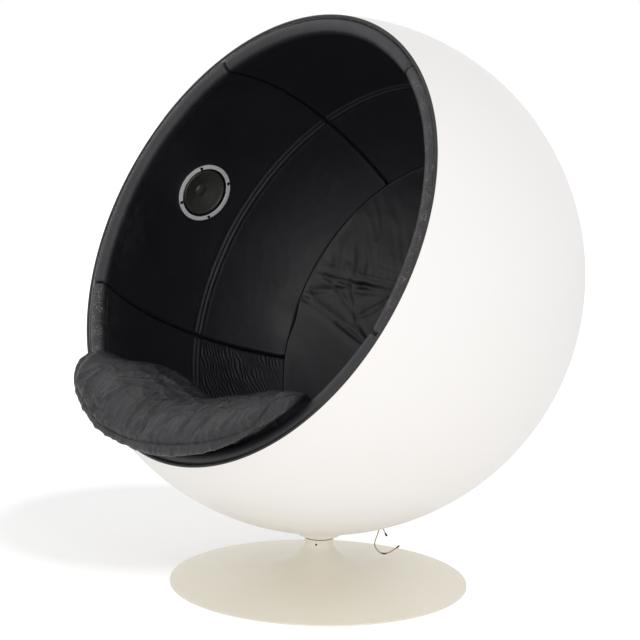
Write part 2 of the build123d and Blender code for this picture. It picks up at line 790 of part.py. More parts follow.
def make_lead_pieces():
    """The free lead, its short stub and the small pieces on them."""
    side_step = Vector(lead_radius + wire_channel_gap, 0, 0)
    lead, lead_path = make_lead("speaker_lead", exit_point - side_step, lead_points)
    stub, stub_path = make_lead("stub_lead", exit_point + side_step, stub_points)
    edges = lead_path.edges()
    lowest_bend = edges.filter_by(GeomType.CIRCLE).sort_by(Axis.Z)[0]
    sleeve_bore = lead_radius + fit_clearance
    sleeve_outer = lead_radius + sleeve_wall
    bend_sleeve = tube(lowest_bend, sleeve_outer, sleeve_bore)
    sleeve = disc(sleeve_outer, end_sleeve_past_end - end_sleeve_length, end_sleeve_past_end)
    sleeve -= disc(sleeve_bore, -end_sleeve_length, face_gap)
    end_sleeve = Plane(origin=lead_path @ 1, z_dir=lead_path % 1) * sleeve
    stub_frame = Plane(origin=stub_path @ 1, z_dir=stub_path % 1)
    connector = Pos(0, 0, connector_size[2] / 2) * Box(*connector_size)
    connector = stub_frame * fillet(connector.edges(), connector_round)
    return {
        "speaker_lead": lead,
        "stub_lead": stub,
        "lead_bend_sleeve": bend_sleeve,
        "lead_end_sleeve": end_sleeve,
        "stub_connector": connector,
    }


# ---------------------------------------------------------------- seat cushion

def cushion_section(across):
    """Upright section of the cushion, a distance to one side of the chair's middle.

    Coordinates run along the mouth's axis and away from it, downwards, from the ball's centre.
    """
    side = abs(across)
    share = side / cushion_half_width
    bowl = math.sqrt((lining_face - cushion_clearance)**2 - side**2)
    fade = math.sqrt(1 - share**cushion_corner)
    shoulder = cushion_shoulder * math.sin(math.pi * share)**2
    thickness = (cushion_thickness * (1 - cushion_side_thinning * share**2) + shoulder) * fade
    rim_x = roll_middle * math.cos(math.radians(roll_angle))
    rim_y = math.sqrt((roll_middle * math.sin(math.radians(roll_angle)))**2 - side**2)
    rim_angle = math.atan2(rim_y, rim_x)
    rim_start_x = rim_x + cushion_rim_rest
    rim_start = Vector(rim_start_x, math.sqrt(bowl**2 - rim_start_x**2))
    rim_start_angle = math.atan2(rim_start.Y, rim_start.X)
    depth_angle = cushion_depth_angle * math.sqrt(1 - share**2) + cushion_side_angle
    back_angle = rim_angle + math.radians(depth_angle)
    middle_angle = (rim_start_angle + back_angle) / 2
    back_thickness = cushion_back_thickness * (1 - cushion_side_thinning * share**2) * fade

    def bowl_point(depth, angle):
        return Vector((bowl - depth) * math.cos(angle), (bowl - depth) * math.sin(angle))

    crest = bowl_point(thickness, rim_start_angle)
    back_low = bowl_point(0, back_angle)
    back_high = bowl_point(back_thickness, back_angle)
    back_bulge = bowl_point(back_thickness / 2, back_angle + back_thickness / 2 / bowl)
    top_middle = bowl_point(thickness * cushion_top_share, middle_angle)
    bottom_middle = bowl_point(0, middle_angle)
    lowest_radius = math.sqrt((mouth_radius + cushion_drop)**2 - side**2)
    overhang = cushion_side_overhang + (cushion_overhang - cushion_side_overhang) * fade
    low = Vector(mouth_offset + overhang, rim_y + (lowest_radius - rim_y) * fade)
    front_top = Vector(low.X + cushion_lean, (low.Y + crest.Y) / 2)
    nose = (low + front_top) / 2 + Vector(cushion_nose * fade, 0)
    front_middle = (crest + front_top) / 2 + Vector(*cushion_front_swell) * fade
    outline = [
        ThreePointArc(back_low, bottom_middle, rim_start),
        Line(rim_start, low),
        ThreePointArc(low, nose, front_top),
        ThreePointArc(front_top, front_middle, crest),
        ThreePointArc(crest, top_middle, back_high),
        ThreePointArc(back_high, back_bulge, back_low),
    ]
    plane = Plane(origin=(across, 0, 0), x_dir=(0, 0, 1), z_dir=(1, 0, 0))
    return plane * make_face(outline)


def make_seat_cushion():
    """Crowned cushion that fills the bottom of the ball and hangs over the rim."""
    places = [-share * cushion_half_width for share in reversed(cushion_sections)]
    places += [0.0]
    places += [share * cushion_half_width for share in cushion_sections]
    return loft([cushion_section(place) for place in places])


# ---------------------------------------------------------------- write everything

def main():
    os.makedirs("parts", exist_ok=True)
    pieces = {
        "base_pedestal": make_base_pedestal(),
        "floor_ring": make_floor_ring(),
        "lower_bush": make_lower_bush(),
        "upper_bush": make_upper_bush(),
        "thrust_washer": make_thrust_washer(),
        "set_screw": make_set_screw(),
        "ball_shell": make_ball_shell(),
        "rim_welt": make_rim_welt(),
        "hub_flange": make_hub_flange(),
        "spindle": make_spindle(),
        "inner_plate": make_inner_plate(),
        "hub_bolts": make_hub_bolts(),
        "hub_washers": make_hub_washers(),
        "retaining_washer": make_retaining_washer(),
        "retaining_nut": make_retaining_nut(),
        "lead_grommet": mouth_frame * make_grommet(),
        "seat_cushion": mouth_frame * make_seat_cushion(),
    }
    for name, piece in {**make_lining(), **make_speakers()}.items():
        pieces[name] = mouth_frame * piece
    pieces.update(make_lead_pieces())
    for name, piece in pieces.items():
        save(name, piece)


main()
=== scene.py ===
import math

import bpy
import numpy as np
from mathutils import Matrix, Vector
from mathutils.bvhtree import BVHTree


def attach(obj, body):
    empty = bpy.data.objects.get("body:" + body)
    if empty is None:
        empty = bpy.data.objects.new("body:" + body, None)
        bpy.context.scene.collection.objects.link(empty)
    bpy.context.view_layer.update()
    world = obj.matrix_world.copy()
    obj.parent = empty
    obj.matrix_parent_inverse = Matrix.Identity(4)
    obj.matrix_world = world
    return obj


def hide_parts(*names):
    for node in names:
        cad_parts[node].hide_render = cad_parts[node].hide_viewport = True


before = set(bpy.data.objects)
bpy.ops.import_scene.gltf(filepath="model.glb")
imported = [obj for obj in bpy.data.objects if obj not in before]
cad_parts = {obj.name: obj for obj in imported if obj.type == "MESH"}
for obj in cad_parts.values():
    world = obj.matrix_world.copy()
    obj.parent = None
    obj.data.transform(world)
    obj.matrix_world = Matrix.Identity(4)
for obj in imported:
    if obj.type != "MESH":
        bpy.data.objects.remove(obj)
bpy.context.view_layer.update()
scene = bpy.context.scene

# Pod chair. Metres and degrees. +Z is up, and the origin is on the floor, on the swivel axis.
# The round mouth of the ball looks along -Y and up.

# ---------------- sizes, as in the part's source

ball_radius = 0.545
ball_wall = 0.006
ball_centre_height = 0.665
ball_bottom = ball_centre_height - ball_radius
mouth_offset = 0.23233
mouth_tilt = 24.8
lining_depth = 0.035
glue_gap = 0.0003
top_panel_half_angle = 37.4
bottom_panel_angle = 109.0
wall_end_angle = 126.5
roll_proud = 0.004
welt_width = 0.0065
welt_height = 0.0032
speaker_round_angle = 72.7
speaker_axis_angle = 87.3
lead_radius = 0.00125
wire_channel_gap = 0.0004
hub_clearance = 0.0001
grommet_flange_thickness = 0.0016
lead_exit_y = 0.160
sleeve_wall = 0.0006
lead_view_angle = 48.5
lead_points = [
    (0.0042, 0.0058, -0.0005),
    (0.0155, 0.0030, -0.0230),
    (0.0090, 0.0030, -0.0450),
    (0.0015, 0.0000, -0.0650),
    (0.0095, 0.0015, -0.0795),
    (0.0215, 0.0015, -0.0875),
    (0.0330, 0.0025, -0.0860),
    (0.0460, 0.0040, -0.0785),
    (0.0580, 0.0055, -0.0695),
]
stub_points = [
    (0.0063, 0.0035, -0.0005),
    (0.0175, -0.0015, -0.0210),
    (0.0265, -0.0010, -0.0390),
]

ball_inside = ball_radius - ball_wall
lining_outside = ball_inside - glue_gap
lining_face = ball_inside - lining_depth
mouth_radius = math.sqrt(ball_radius**2 - mouth_offset**2)
roll_radius = (lining_outside - lining_face) / 2
roll_middle = (lining_outside + lining_face) / 2
roll_angle = math.degrees(math.acos((mouth_offset + roll_proud - roll_radius) / roll_middle))

# ---------------- sizes of what only shows here

seam_angle = 101.5              # sewn seam round the walls, from the mouth's axis
seam_roll = 0.0050              # from the seam to each row of stitches
joint_gap = 0.0026              # between two wall pads, as they show
back_gap = 0.0003               # between the wall pads and the back pad, as it shows
pad_edge = 0.0080               # rounding of a pad towards an open joint
pad_corner = 0.0015             # and towards the back pad
back_edge = 0.0020              # rounding of the back pad
pad_crown = 0.0022
ripple_pitch = 0.0092           # slack leather of the bottom pad
ripple_lean = 0.34
ripple_depth = 0.00105
stitch_pitch = 0.0052
stitch_length = 0.0040
stitch_radius = 0.0005
corner_bulge_angle = 128.5      # fullest place of a side pad's low back corner, from the mouth's axis
corner_bulge_round = 95.5       # and round it, from the top
corner_bulge_reach = 0.045
corner_bulge_rise = 0.008
ring_show_radius = 0.0684       # loudspeaker ring, as it shows
ring_show_bore = 0.0590
speaker_pit_radius = 0.0660     # recess in the pad behind it
speaker_pit_depth = 0.020
ring_radius = 0.070             # the ring's solid
ring_bore = 0.057
cushion_mesh = 0.0055
swelling_limit = 0.004          # furthest that the simulation moves a point
simulated_steps = 20
cushion_seam_line = [           # sewn edge: angle from the bottom and distance, both about the mouth's axis
    (-47.0, 0.446), (-43.0, 0.464), (-36.0, 0.483), (-20.0, 0.486), (-10.0, 0.477), (0.0, 0.469),
    (7.0, 0.466), (14.0, 0.467), (20.0, 0.471), (28.0, 0.477), (33.0, 0.481), (37.0, 0.481),
    (39.5, 0.475), (42.0, 0.462), (44.0, 0.446), (47.5, 0.438),
]

# ---------------- frames

ball_centre = np.array((0.0, 0.0, ball_centre_height))
mouth_axis = np.array((0.0, -math.cos(math.radians(mouth_tilt)), math.sin(math.radians(mouth_tilt))))
mouth_side = np.array((1.0, 0.0, 0.0))
mouth_up = np.array((0.0, math.sin(math.radians(mouth_tilt)), math.cos(math.radians(mouth_tilt))))


def round_direction(round_angle):
    """Directions away from the mouth's axis. The angle runs from the top towards +X."""
    angle = np.radians(np.asarray(round_angle, float))[..., None]
    return np.sin(angle) * mouth_side + np.cos(angle) * mouth_up


def mouth_place(along, away, round_angle):
    """World places from distances along the mouth's axis and away from it."""
    along = np.asarray(along, float)[..., None]
    away = np.asarray(away, float)[..., None]
    return ball_centre + along * mouth_axis + away * round_direction(round_angle)


def polar(radius, axis_angle):
    """(along, away) of a point at a radius from the ball's centre and an angle from the mouth's axis."""
    angle = math.radians(axis_angle)
    return np.array((radius * math.cos(angle), radius * math.sin(angle)))


def to_mouth(points):
    """(side, up, along) of world points from the ball's centre."""
    shifted = np.asarray(points) - ball_centre
    return shifted @ mouth_side, shifted @ mouth_up, shifted @ mouth_axis


# ---------------- noise and curves

def lattice_noise(points, cell, seed):
    """Smooth noise from about -1 to 1, with features of a cell's size."""
    rng = np.random.RandomState(seed)
    table = rng.permutation(256)
    slopes = rng.normal(size=(256, 3))
    slopes /= np.linalg.norm(slopes, axis=1)[:, None]
    scaled = np.asarray(points, float) / cell
    base = np.floor(scaled).astype(int)
    part = scaled - base
    ease = part**3 * (part * (part * 6 - 15) + 10)
    total = np.zeros(scaled.shape[:-1])
    for corner in range(8):
        step = np.array([(corner >> axis) & 1 for axis in range(3)])
        cell_at = (base + step) & 255
        key = table[(table[(table[cell_at[..., 0]] + cell_at[..., 1]) & 255] + cell_at[..., 2]) & 255]
        lean = (slopes[key] * (part - step)).sum(-1)
        weight = np.prod(np.where(step == 1, ease, 1 - ease), axis=-1)
        total += weight * lean
    return total * 1.5


def bump(distance, width):
    """1 at a distance of 0, falling to 0 over about a width."""
    return np.exp(-(distance / width)**2)


def fade(value, start, end):
    """0 before start, 1 after end, smooth between them."""
    share = np.clip((value - start) / (end - start), 0, 1)
    return share * share * (3 - 2 * share)


def segment_distance(x, y, first, last):
    """Distance in a plane to a straight line between two points."""
    along = np.array(last, float) - np.array(first, float)
    share = np.clip(((x - first[0]) * along[0] + (y - first[1]) * along[1]) / (along @ along), 0, 1)
    return np.hypot(x - first[0] - share * along[0], y - first[1] - share * along[1])


# ---------------- meshes

def ring_faces(rings, sides, closed=False):
    """Faces of a skin over rings of points. The last ring joins the first, or both ends are capped."""
    r, c = np.meshgrid(np.arange(rings if closed else rings - 1), np.arange(sides), indexing="ij")
    r2, c2 = (r + 1) % rings, (c + 1) % sides
    quads = np.stack([r * sides + c, r * sides + c2, r2 * sides + c2, r2 * sides + c], -1)
    faces = quads.reshape(-1, 4).tolist()
    if not closed:
        faces.append(list(range(sides))[::-1])
        faces.append(list(range((rings - 1) * sides, rings * sides)))
    return faces


def set_wear_and_sheen(mesh, wear_and_sheen):
    layer = mesh.attributes.new("wear_and_sheen", "FLOAT", "POINT")
    layer.data.foreach_set("value", np.asarray(wear_and_sheen, np.float32).ravel())


def mesh_object(name, points, faces, material, wear_and_sheen=None):
    """Smooth mesh piece with one material, and its wear and painted sheen as a point attribute."""
    mesh = bpy.data.meshes.new(name)
    mesh.from_pydata(np.asarray(points).reshape(-1, 3).tolist(), [], faces)
    mesh.polygons.foreach_set("use_smooth", [True] * len(mesh.polygons))
    if wear_and_sheen is not None:
        set_wear_and_sheen(mesh, wear_and_sheen)
    mesh.materials.append(material)
    piece = bpy.data.objects.new(name, mesh)
    scene.collection.objects.link(piece)
    return piece


def triples(items, field, kind=float):
    """Field of a mesh's vertices, normals or triangles, as rows of three."""
    values = np.empty(len(items) * 3, kind)
    items.foreach_get(field, values)
    return values.reshape(-1, 3)


def vertex_places(piece):
    return triples(piece.data.vertices, "co")


def set_vertex_places(piece, places):
    piece.data.vertices.foreach_set("co", places.ravel())
    piece.data.update()


def vertex_normals(piece):
    return triples(piece.data.vertex_normals, "vector")


def face_outwards(piece):
    """Turn a closed piece's faces outwards."""
    piece.data.calc_loop_triangles()
    triangles = triples(piece.data.loop_triangles, "vertices", int)
    a, b, c = vertex_places(piece)[triangles.T]
    if (np.cross(a, b) * c).sum() < 0:
        piece.data.flip_normals()


def sharpen(piece, angle):
    """Hard shading at edges sharper than an angle."""
    piece.data.set_sharp_from_angle(angle=math.radians(angle))


def turned_piece(name, profile, material):
    """Closed profile of (along, away) turned round the mouth's axis."""
    segments = 288
    along, away = np.transpose(profile)
    points = mouth_place(along, away, (np.arange(segments) * 360 / segments)[:, None])
    piece = mesh_object(name, points, ring_faces(segments, len(profile), closed=True), material)
    face_outwards(piece)
    return piece


def tube_along(name, path, radius, material, sides=16, inner=0.0):
    """Round tube along points, closed at its ends."""
    path = np.asarray(path, float)
    heading = np.gradient(path, axis=0)
    heading /= np.linalg.norm(heading, axis=1)[:, None]
    side = np.cross(heading[0], (0.3, 0.5, 0.8))
    rings = []
    around = np.arange(sides) * 2 * math.pi / sides
    for here, ahead in zip(path, heading):
        side = side - ahead * (side @ ahead)
        side /= np.linalg.norm(side)
        other = np.cross(ahead, side)
        rings.append(here + radius * (np.cos(around)[:, None] * side + np.sin(around)[:, None] * other))
    if inner:
        rings += [path[k] + (rings[k] - path[k]) * inner / radius for k in reversed(range(len(path)))]
    faces = ring_faces(len(rings), sides, closed=bool(inner))
    piece = mesh_object(name, np.array(rings), faces, material)
    face_outwards(piece)
    sharpen(piece, 50)
    return piece


def free_wire(name, points, radius, material):
    """Smooth free wire on its route. Returns the piece and the points of its line."""
    curve = bpy.data.curves.new(name, "CURVE")
    curve.dimensions = "3D"
    spline = curve.splines.new("NURBS")
    spline.points.add(len(points) - 1)
    for control, point in zip(spline.points, points):
        control.co = (*point, 1)
    spline.order_u = 3
    spline.use_endpoint_u = True
    spline.resolution_u = 12
    piece = bpy.data.objects.new(name, curve)
    scene.collection.objects.link(piece)
    line = bpy.data.meshes.new_from_object(piece)
    path = np.array([vertex.co[:] for vertex in line.vertices])
    bpy.data.meshes.remove(line)
    curve.bevel_depth = radius
    curve.bevel_resolution = 5
    curve.use_fill_caps = True
    curve.materials.append(material)
    return piece, path


# ---------------- materials

def feed(node, inputs):
    """Link or set the inputs of a node."""
    for key, value in inputs.items():
        if isinstance(value, bpy.types.NodeSocket):
            node.id_data.links.new(value, node.inputs[key])
        else:
            node.inputs[key].default_value = value


def node_adder(tree):
    """Way to add nodes to a tree."""
    def add(kind, inputs=None, **settings):
        node = tree.nodes.new(kind)
        for key, value in settings.items():
            setattr(node, key, value)
        feed(node, inputs or {})
        return node

    return add


def new_material(name):
    """Node material, its shader, a way to add nodes, and object coordinates, which are metres."""
    material = bpy.data.materials.new(name)
    material.use_nodes = True
    add = node_adder(material.node_tree)
    shader = material.node_tree.nodes["Principled BSDF"]
    return material, shader, add, add("ShaderNodeTexCoord").outputs["Object"]


def noise_texture(add, place, scale, detail, roughness, distortion=0.0):
    """Factor of a noise texture."""
    return add("ShaderNodeTexNoise", {"Vector": place, "Scale": scale, "Detail": detail,
                                      "Roughness": roughness, "Distortion": distortion}).outputs["Fac"]


def vector_node(add, operation, first, second):
    """One sum on two vectors."""
    return add("ShaderNodeVectorMath", {0: first, 1: second}, operation=operation).outputs["Vector"]


def bent_places(add, place, scale, reach):
    """Places moved at random by up to about a reach."""
    colour = add("ShaderNodeTexNoise", {"Vector": place, "Scale": scale, "Detail": 2.0}).outputs["Color"]
    middle = vector_node(add, "SUBTRACT", colour, (0.5, 0.5, 0.5))
    shift = add("ShaderNodeVectorMath", {0: middle, "Scale": 2 * reach}, operation="SCALE").outputs["Vector"]
    return vector_node(add, "ADD", place, shift)


def cell_edges(add, place, scale, randomness=1.0):
    """Distance to the edges of random cells."""
    return add("ShaderNodeTexVoronoi", {"Vector": place, "Scale": scale, "Randomness": randomness},
               feature="DISTANCE_TO_EDGE").outputs["Distance"]


def remap(add, value, low, high, to_low=0.0, to_high=1.0):
    """A value's range stretched onto another, and held there."""
    return add("ShaderNodeMapRange", {"Value": value, "From Min": low, "From Max": high, "To Min": to_low,
                                      "To Max": to_high}).outputs["Result"]


def math_node(add, operation, first, second=0.0):
    """One sum on two values."""
    return add("ShaderNodeMath", {0: first, 1: second}, operation=operation).outputs[0]


def mix_colour(add, factor, first, second):
    """Colour between two colours."""
    node = add("ShaderNodeMix", {"Factor": factor}, data_type="RGBA")
    for socket, value in (("A", first), ("B", second)):
        target = [s for s in node.inputs if s.name == socket and s.type == "RGBA"][0]
        if isinstance(value, bpy.types.NodeSocket):
            node.id_data.links.new(value, target)
        else:
            target.default_value = (*value, 1.0)
    return [s for s in node.outputs if s.type == "RGBA"][0]


def bump_node(add, height, distance, strength=1.0, after=None):
    """Normal from a height."""
    inputs = {"Height": height, "Distance": distance, "Strength": strength}
    if after is not None:
        inputs["Normal"] = after
    return add("ShaderNodeBump", inputs).outputs["Normal"]


def pulled_lines(add, place, scale):
    """Thin broken lines that run up the front of the cushion and back over its top."""
    drawn = vector_node(add, "MULTIPLY", bent_places(add, place, 11.0, 0.016), (1.0, 0.2, 0.2))
    ridge = noise_texture(add, drawn, scale, 1.5, 0.5)
    ridge = math_node(add, "ABSOLUTE", math_node(add, "SUBTRACT", ridge, 0.5))
    line = remap(add, ridge, 0.0, 0.045, 1.0, 0.0)
    broken = remap(add, noise_texture(add, place, scale / 3.0, 2.0, 0.5), 0.44, 0.58)
    return math_node(add, "MULTIPLY", line, broken)


def leather(name, colour, sheen_colour, roughness, grain_depth, worn_and_sheen_colour, wear_and_sheen_amount, wrinkle_depth=0.0):
    """Aged leather: pebble grain, fine creases, uneven gloss, and lighter marks by the wear attribute: rubbed
    places, and on the lining's rim painted sheen as well.
    """
    material, shader, add, place = new_material(name)
    wear_and_sheen = add("ShaderNodeAttribute", attribute_name="wear_and_sheen").outputs["Fac"]
    pebbles = remap(add, cell_edges(add, place, 620.0, 0.9), 0.0, 0.22)
    cracks = remap(add, cell_edges(add, place, 165.0), 0.0, 0.05)
    mottle = noise_texture(add, place, 7.0, 4.0, 0.6)
    crazed = cell_edges(add, bent_places(add, place, 30.0, 0.012), 130.0)
    patches = noise_texture(add, place, 38.0, 5.0, 0.7, 0.3)
    specks = noise_texture(add, place, 330.0, 3.0, 0.6)
    tone = mix_colour(add, remap(add, mottle, 0.3, 0.75), colour, sheen_colour)
    # marks in the worn colour: rubbed places, and on the lining's rim also painted sheen
    worn_and_sheen = math_node(add, "MAXIMUM", remap(add, crazed, 0.01, 0.05, 1.0, 0.0), remap(add, specks, 0.62, 0.72))
    worn_and_sheen = math_node(add, "MULTIPLY", worn_and_sheen, remap(add, patches, 0.42, 0.60))
    worn_and_sheen = math_node(add, "MULTIPLY", math_node(add, "MULTIPLY", worn_and_sheen, wear_and_sheen), wear_and_sheen_amount)
    tone = mix_colour(add, worn_and_sheen, tone, worn_and_sheen_colour)
    gloss = remap(add, mottle, 0.25, 0.75, roughness + 0.04, roughness - 0.04)
    gloss = math_node(add, "ADD", gloss, math_node(add, "MULTIPLY", worn_and_sheen, 0.25))
    normal = bump_node(add, pebbles, grain_depth)
    normal = bump_node(add, cracks, grain_depth * 0.5, 1.0, normal)
    creases = noise_texture(add, place, 60.0, 4.0, 0.6, 0.6)
    normal = bump_node(add, creases, grain_depth * 4.0, 0.6, normal)
    if wrinkle_depth:
        normal = bump_node(add, pulled_lines(add, place, 34.0), wrinkle_depth, 1.0, normal)
        normal = bump_node(add, pulled_lines(add, place, 85.0), wrinkle_depth * 0.3, 1.0, normal)
    feed(shader, {"Base Color": tone, "Roughness": gloss, "Specular IOR Level": 0.46, "Normal": normal})
    return material


def paint(name, colour, aged_colour, roughness, dimple, age_low, age_high):
    """Gloss paint or gel coat: faint orange peel, specks and an aged tone that grows downwards."""
    material, shader, add, place = new_material(name)
    height = add("ShaderNodeSeparateXYZ", {"Vector": place}).outputs["Z"]
    mottle = noise_texture(add, place, 2.3, 4.0, 0.6)
    specks = noise_texture(add, place, 90.0, 5.0, 0.7)
    age = math_node(add, "ADD", remap(add, height, age_low, age_high, 0.8, 0.15),
                    remap(add, mottle, 0.3, 0.7, -0.15, 0.15))
    tone = mix_colour(add, age, colour, aged_colour)
    dirt = remap(add, specks, 0.70, 0.78, 0.0, 0.35)
    tone = mix_colour(add, dirt, tone, tuple(0.62 * part for part in aged_colour))
    smear = noise_texture(add, place, 14.0, 4.0, 0.6)
    gloss = remap(add, smear, 0.3, 0.7, roughness - 0.03, roughness + 0.05)
    peel = noise_texture(add, place, 150.0, 2.0, 0.5)
    normal = bump_node(add, peel, dimple)
    wave = noise_texture(add, place, 9.0, 2.0, 0.5)
    normal = bump_node(add, wave, dimple * 12.0, 0.5, normal)
    feed(shader, {"Base Color": tone, "Roughness": gloss, "Normal": normal})
    return material


def metal(name, colour, roughness):
    """Bare metal with fine tool marks and a mottled gloss."""
    material, shader, add, place = new_material(name)
    mottle = noise_texture(add, place, 70.0, 4.0, 0.6)
    tone = mix_colour(add, remap(add, mottle, 0.3, 0.7), colour, tuple(0.78 * part for part in colour))
    gloss = remap(add, mottle, 0.3, 0.7, roughness - 0.06, roughness + 0.08)
    marks = noise_texture(add, place, 260.0, 2.0, 0.5, 0.2)
    feed(shader, {"Base Color": tone, "Metallic": 1.0, "Roughness": gloss,
                  "Normal": bump_node(add, marks, 0.00006)})
    return material


def plain_matter(name, colour, other_colour, roughness, grain_scale, grain_depth):
    """Plastic, rubber, foam or plywood: two close tones over a grain."""
    material, shader, add, place = new_material(name)
    grain = noise_texture(add, place, grain_scale, 4.0, 0.6)
    mottle = noise_texture(add, place, grain_scale / 12.0, 3.0, 0.5)
    tone = mix_colour(add, remap(add, mottle, 0.3, 0.7), colour, other_colour)
    gloss = remap(add, grain, 0.3, 0.7, roughness - 0.05, roughness + 0.07)
    feed(shader, {"Base Color": tone, "Roughness": gloss, "Normal": bump_node(add, grain, grain_depth)})
    return material


# the lining's worn colour marks rubbed places and painted sheen on its rolled rim
lining_leather = leather("black lining leather", (0.0135, 0.0135, 0.0170), (0.021, 0.021, 0.026), 0.325,
                         0.00012, (0.34, 0.28, 0.24), 0.9)
cushion_leather = leather("black cushion leather", (0.0095, 0.0095, 0.0120), (0.017, 0.017, 0.021), 0.325,
                          0.00020, (0.24, 0.23, 0.23), 0.6, wrinkle_depth=0.0016)
edging = plain_matter("black edging", (0.010, 0.010, 0.010), (0.018, 0.018, 0.018), 0.5, 400.0, 0.0001)
thread = plain_matter("black thread", (0.060, 0.060, 0.064), (0.085, 0.085, 0.088), 0.6, 900.0, 0.0001)
dark_thread = plain_matter("dark thread", (0.008, 0.008, 0.008), (0.014, 0.014, 0.014), 0.6, 900.0, 0.0001)
shell_paint = paint("warm white gel coat", (0.89, 0.87, 0.86), (0.87, 0.84, 0.80), 0.33, 0.00002, 0.12, 0.75)
base_paint = paint("aged white base paint", (0.905, 0.875, 0.79), (0.865, 0.81, 0.685), 0.36, 0.00004,
                   0.0, 0.10)
steel = metal("zinc plated steel", (0.62, 0.61, 0.58), 0.32)
black_steel = metal("blackened steel", (0.035, 0.035, 0.036), 0.38)
bronze = metal("bronze", (0.48, 0.33, 0.17), 0.35)
brown_washer = plain_matter("brown washer", (0.16, 0.075, 0.035), (0.10, 0.050, 0.026), 0.55, 300.0, 0.0002)
rubber = plain_matter("black rubber", (0.018, 0.018, 0.018), (0.028, 0.028, 0.028), 0.62, 350.0, 0.00015)
speaker_grey = plain_matter("light grey ring", (0.84, 0.84, 0.85), (0.74, 0.74, 0.75), 0.35, 500.0, 0.00004)
speaker_black = plain_matter("black loudspeaker paper", (0.045, 0.045, 0.042), (0.056, 0.056, 0.052), 0.27,
                             520.0, 0.00012)
magnet = plain_matter("ferrite", (0.035, 0.034, 0.033), (0.05, 0.049, 0.047), 0.5, 300.0, 0.0002)
plywood = plain_matter("plywood", (0.45, 0.30, 0.16), (0.36, 0.23, 0.12), 0.6, 120.0, 0.0003)
wire_brown = plain_matter("copper brown wire", (0.50, 0.32, 0.15), (0.38, 0.23, 0.10), 0.38, 700.0, 0.00006)
sleeve_black = plain_matter("black sleeve", (0.015, 0.015, 0.015), (0.024, 0.024, 0.024), 0.45, 500.0, 0.0001)


# ---------------- ball and edging

def make_shell():
    """Glass-fibre ball with its open mouth."""
    lip = math.degrees(math.acos(mouth_offset / ball_radius))
    inner_lip = math.degrees(math.acos(mouth_offset / ball_inside))
    profile = [polar(ball_radius, angle) for angle in np.linspace(lip, 180.0, 150)]
    profile += [polar(ball_inside, angle) for angle in np.linspace(180.0, inner_lip, 60)]
    shell = turned_piece("shell", profile, shell_paint)
    sharpen(shell, 40)
    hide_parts("ball_shell")
    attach(shell, "ball")


def make_welt():
    """Thin black edging along the lip of the shell."""
    base = mouth_offset + hub_clearance
    outer = mouth_radius
    inner = mouth_radius - welt_width
    middle = (inner + outer) / 2
    profile = [(base, inner), (base, outer)]
    for turn in np.linspace(0, math.pi, 11):
        profile.append((base + welt_height * (0.35 + 0.65 * math.sin(turn)),
                        middle + math.cos(turn) * welt_width / 2))
    welt = turned_piece("rim_edging", profile, edging)
    sharpen(welt, 60)
    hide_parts("rim_welt")
    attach(welt, "ball")


make_shell()
make_welt()


# ---------------- padded lining

def pair_distance(points, axis_angle, round_angle):
    """Distance from the nearer of two places on the lining, one on each side."""
    along, away = polar(lining_face, axis_angle)
    places = [mouth_place(along, away, side * round_angle) for side in (-1, 1)]
    return np.minimum(*(np.linalg.norm(points - place, axis=-1) for place in places))


def seam_relief(distance):
    """Height of the sewn seam: a roll on each side of a narrow valley."""
    rolls = bump(np.abs(distance) - seam_roll, 0.0026)
    return 0.0008 * rolls - 0.0007 * bump(distance, 0.0012) - 0.0006 * bump(np.abs(distance) - 0.0115, 0.003)


def ripple_relief(points, axis_angle):
    """Tight ripples of slack leather that lean a little off the seam, broken into short waves."""
    side, up, _ = to_mouth(points)
    from_joint = (np.abs(np.arctan2(side, up)) - math.radians(bottom_panel_angle)) * lining_face
    across = np.radians(axis_angle) * lining_face - ripple_lean * from_joint
    phase = across / ripple_pitch * 2 * math.pi
    phase += 6.0 * lattice_noise(points, 0.055, 6) + 3.6 * lattice_noise(points, 0.021, 7)
    waves = 1 - 2 * np.abs(np.sin(phase / 2))**0.7
    behind_seam = fade(axis_angle, 101.9, 103.2) * fade(wall_end_angle - axis_angle, 0.3, 2.0)
    before_seam = fade(axis_angle, 84, 99) * fade(101.0 - axis_angle, 0, 1)
    strength = behind_seam * (0.60 + 0.9 * lattice_noise(points, 0.030, 8))
    strength = strength + 0.22 * before_seam * np.clip(lattice_noise(points, 0.045, 9) + 0.2, 0, 1)
    return ripple_depth * waves * np.clip(strength, 0, 1.2)


def wall_relief(name, points, axis_angle):
    """Height of a wall pad's skin over its plain form, in metres."""
    height = 0.0013 * lattice_noise(points, 0.12, 3) + 0.0003 * lattice_noise(points, 0.035, 4)
    height += seam_relief(np.radians(axis_angle - seam_angle) * lining_face)
    height += 0.0011 * bump(axis_angle - roll_angle - 1.1, 0.42)
    streak = lattice_noise(points * (1, 1, 0.35) + 7, 0.015, 5)
    height += 0.00022 * streak * fade(axis_angle, 75, 92)
    if name == "bottom":
        height += ripple_relief(points, axis_angle)
    else:
        from_corner = pair_distance(points, corner_bulge_angle, corner_bulge_round)
        height += corner_bulge_rise * bump(from_corner, corner_bulge_reach)
    from_speaker = pair_distance(points, speaker_axis_angle, speaker_round_angle)
    pit = speaker_pit_depth * fade(speaker_pit_radius - from_speaker, 0, 0.004)
    return height * fade(from_speaker, 0.074, 0.11) - pit


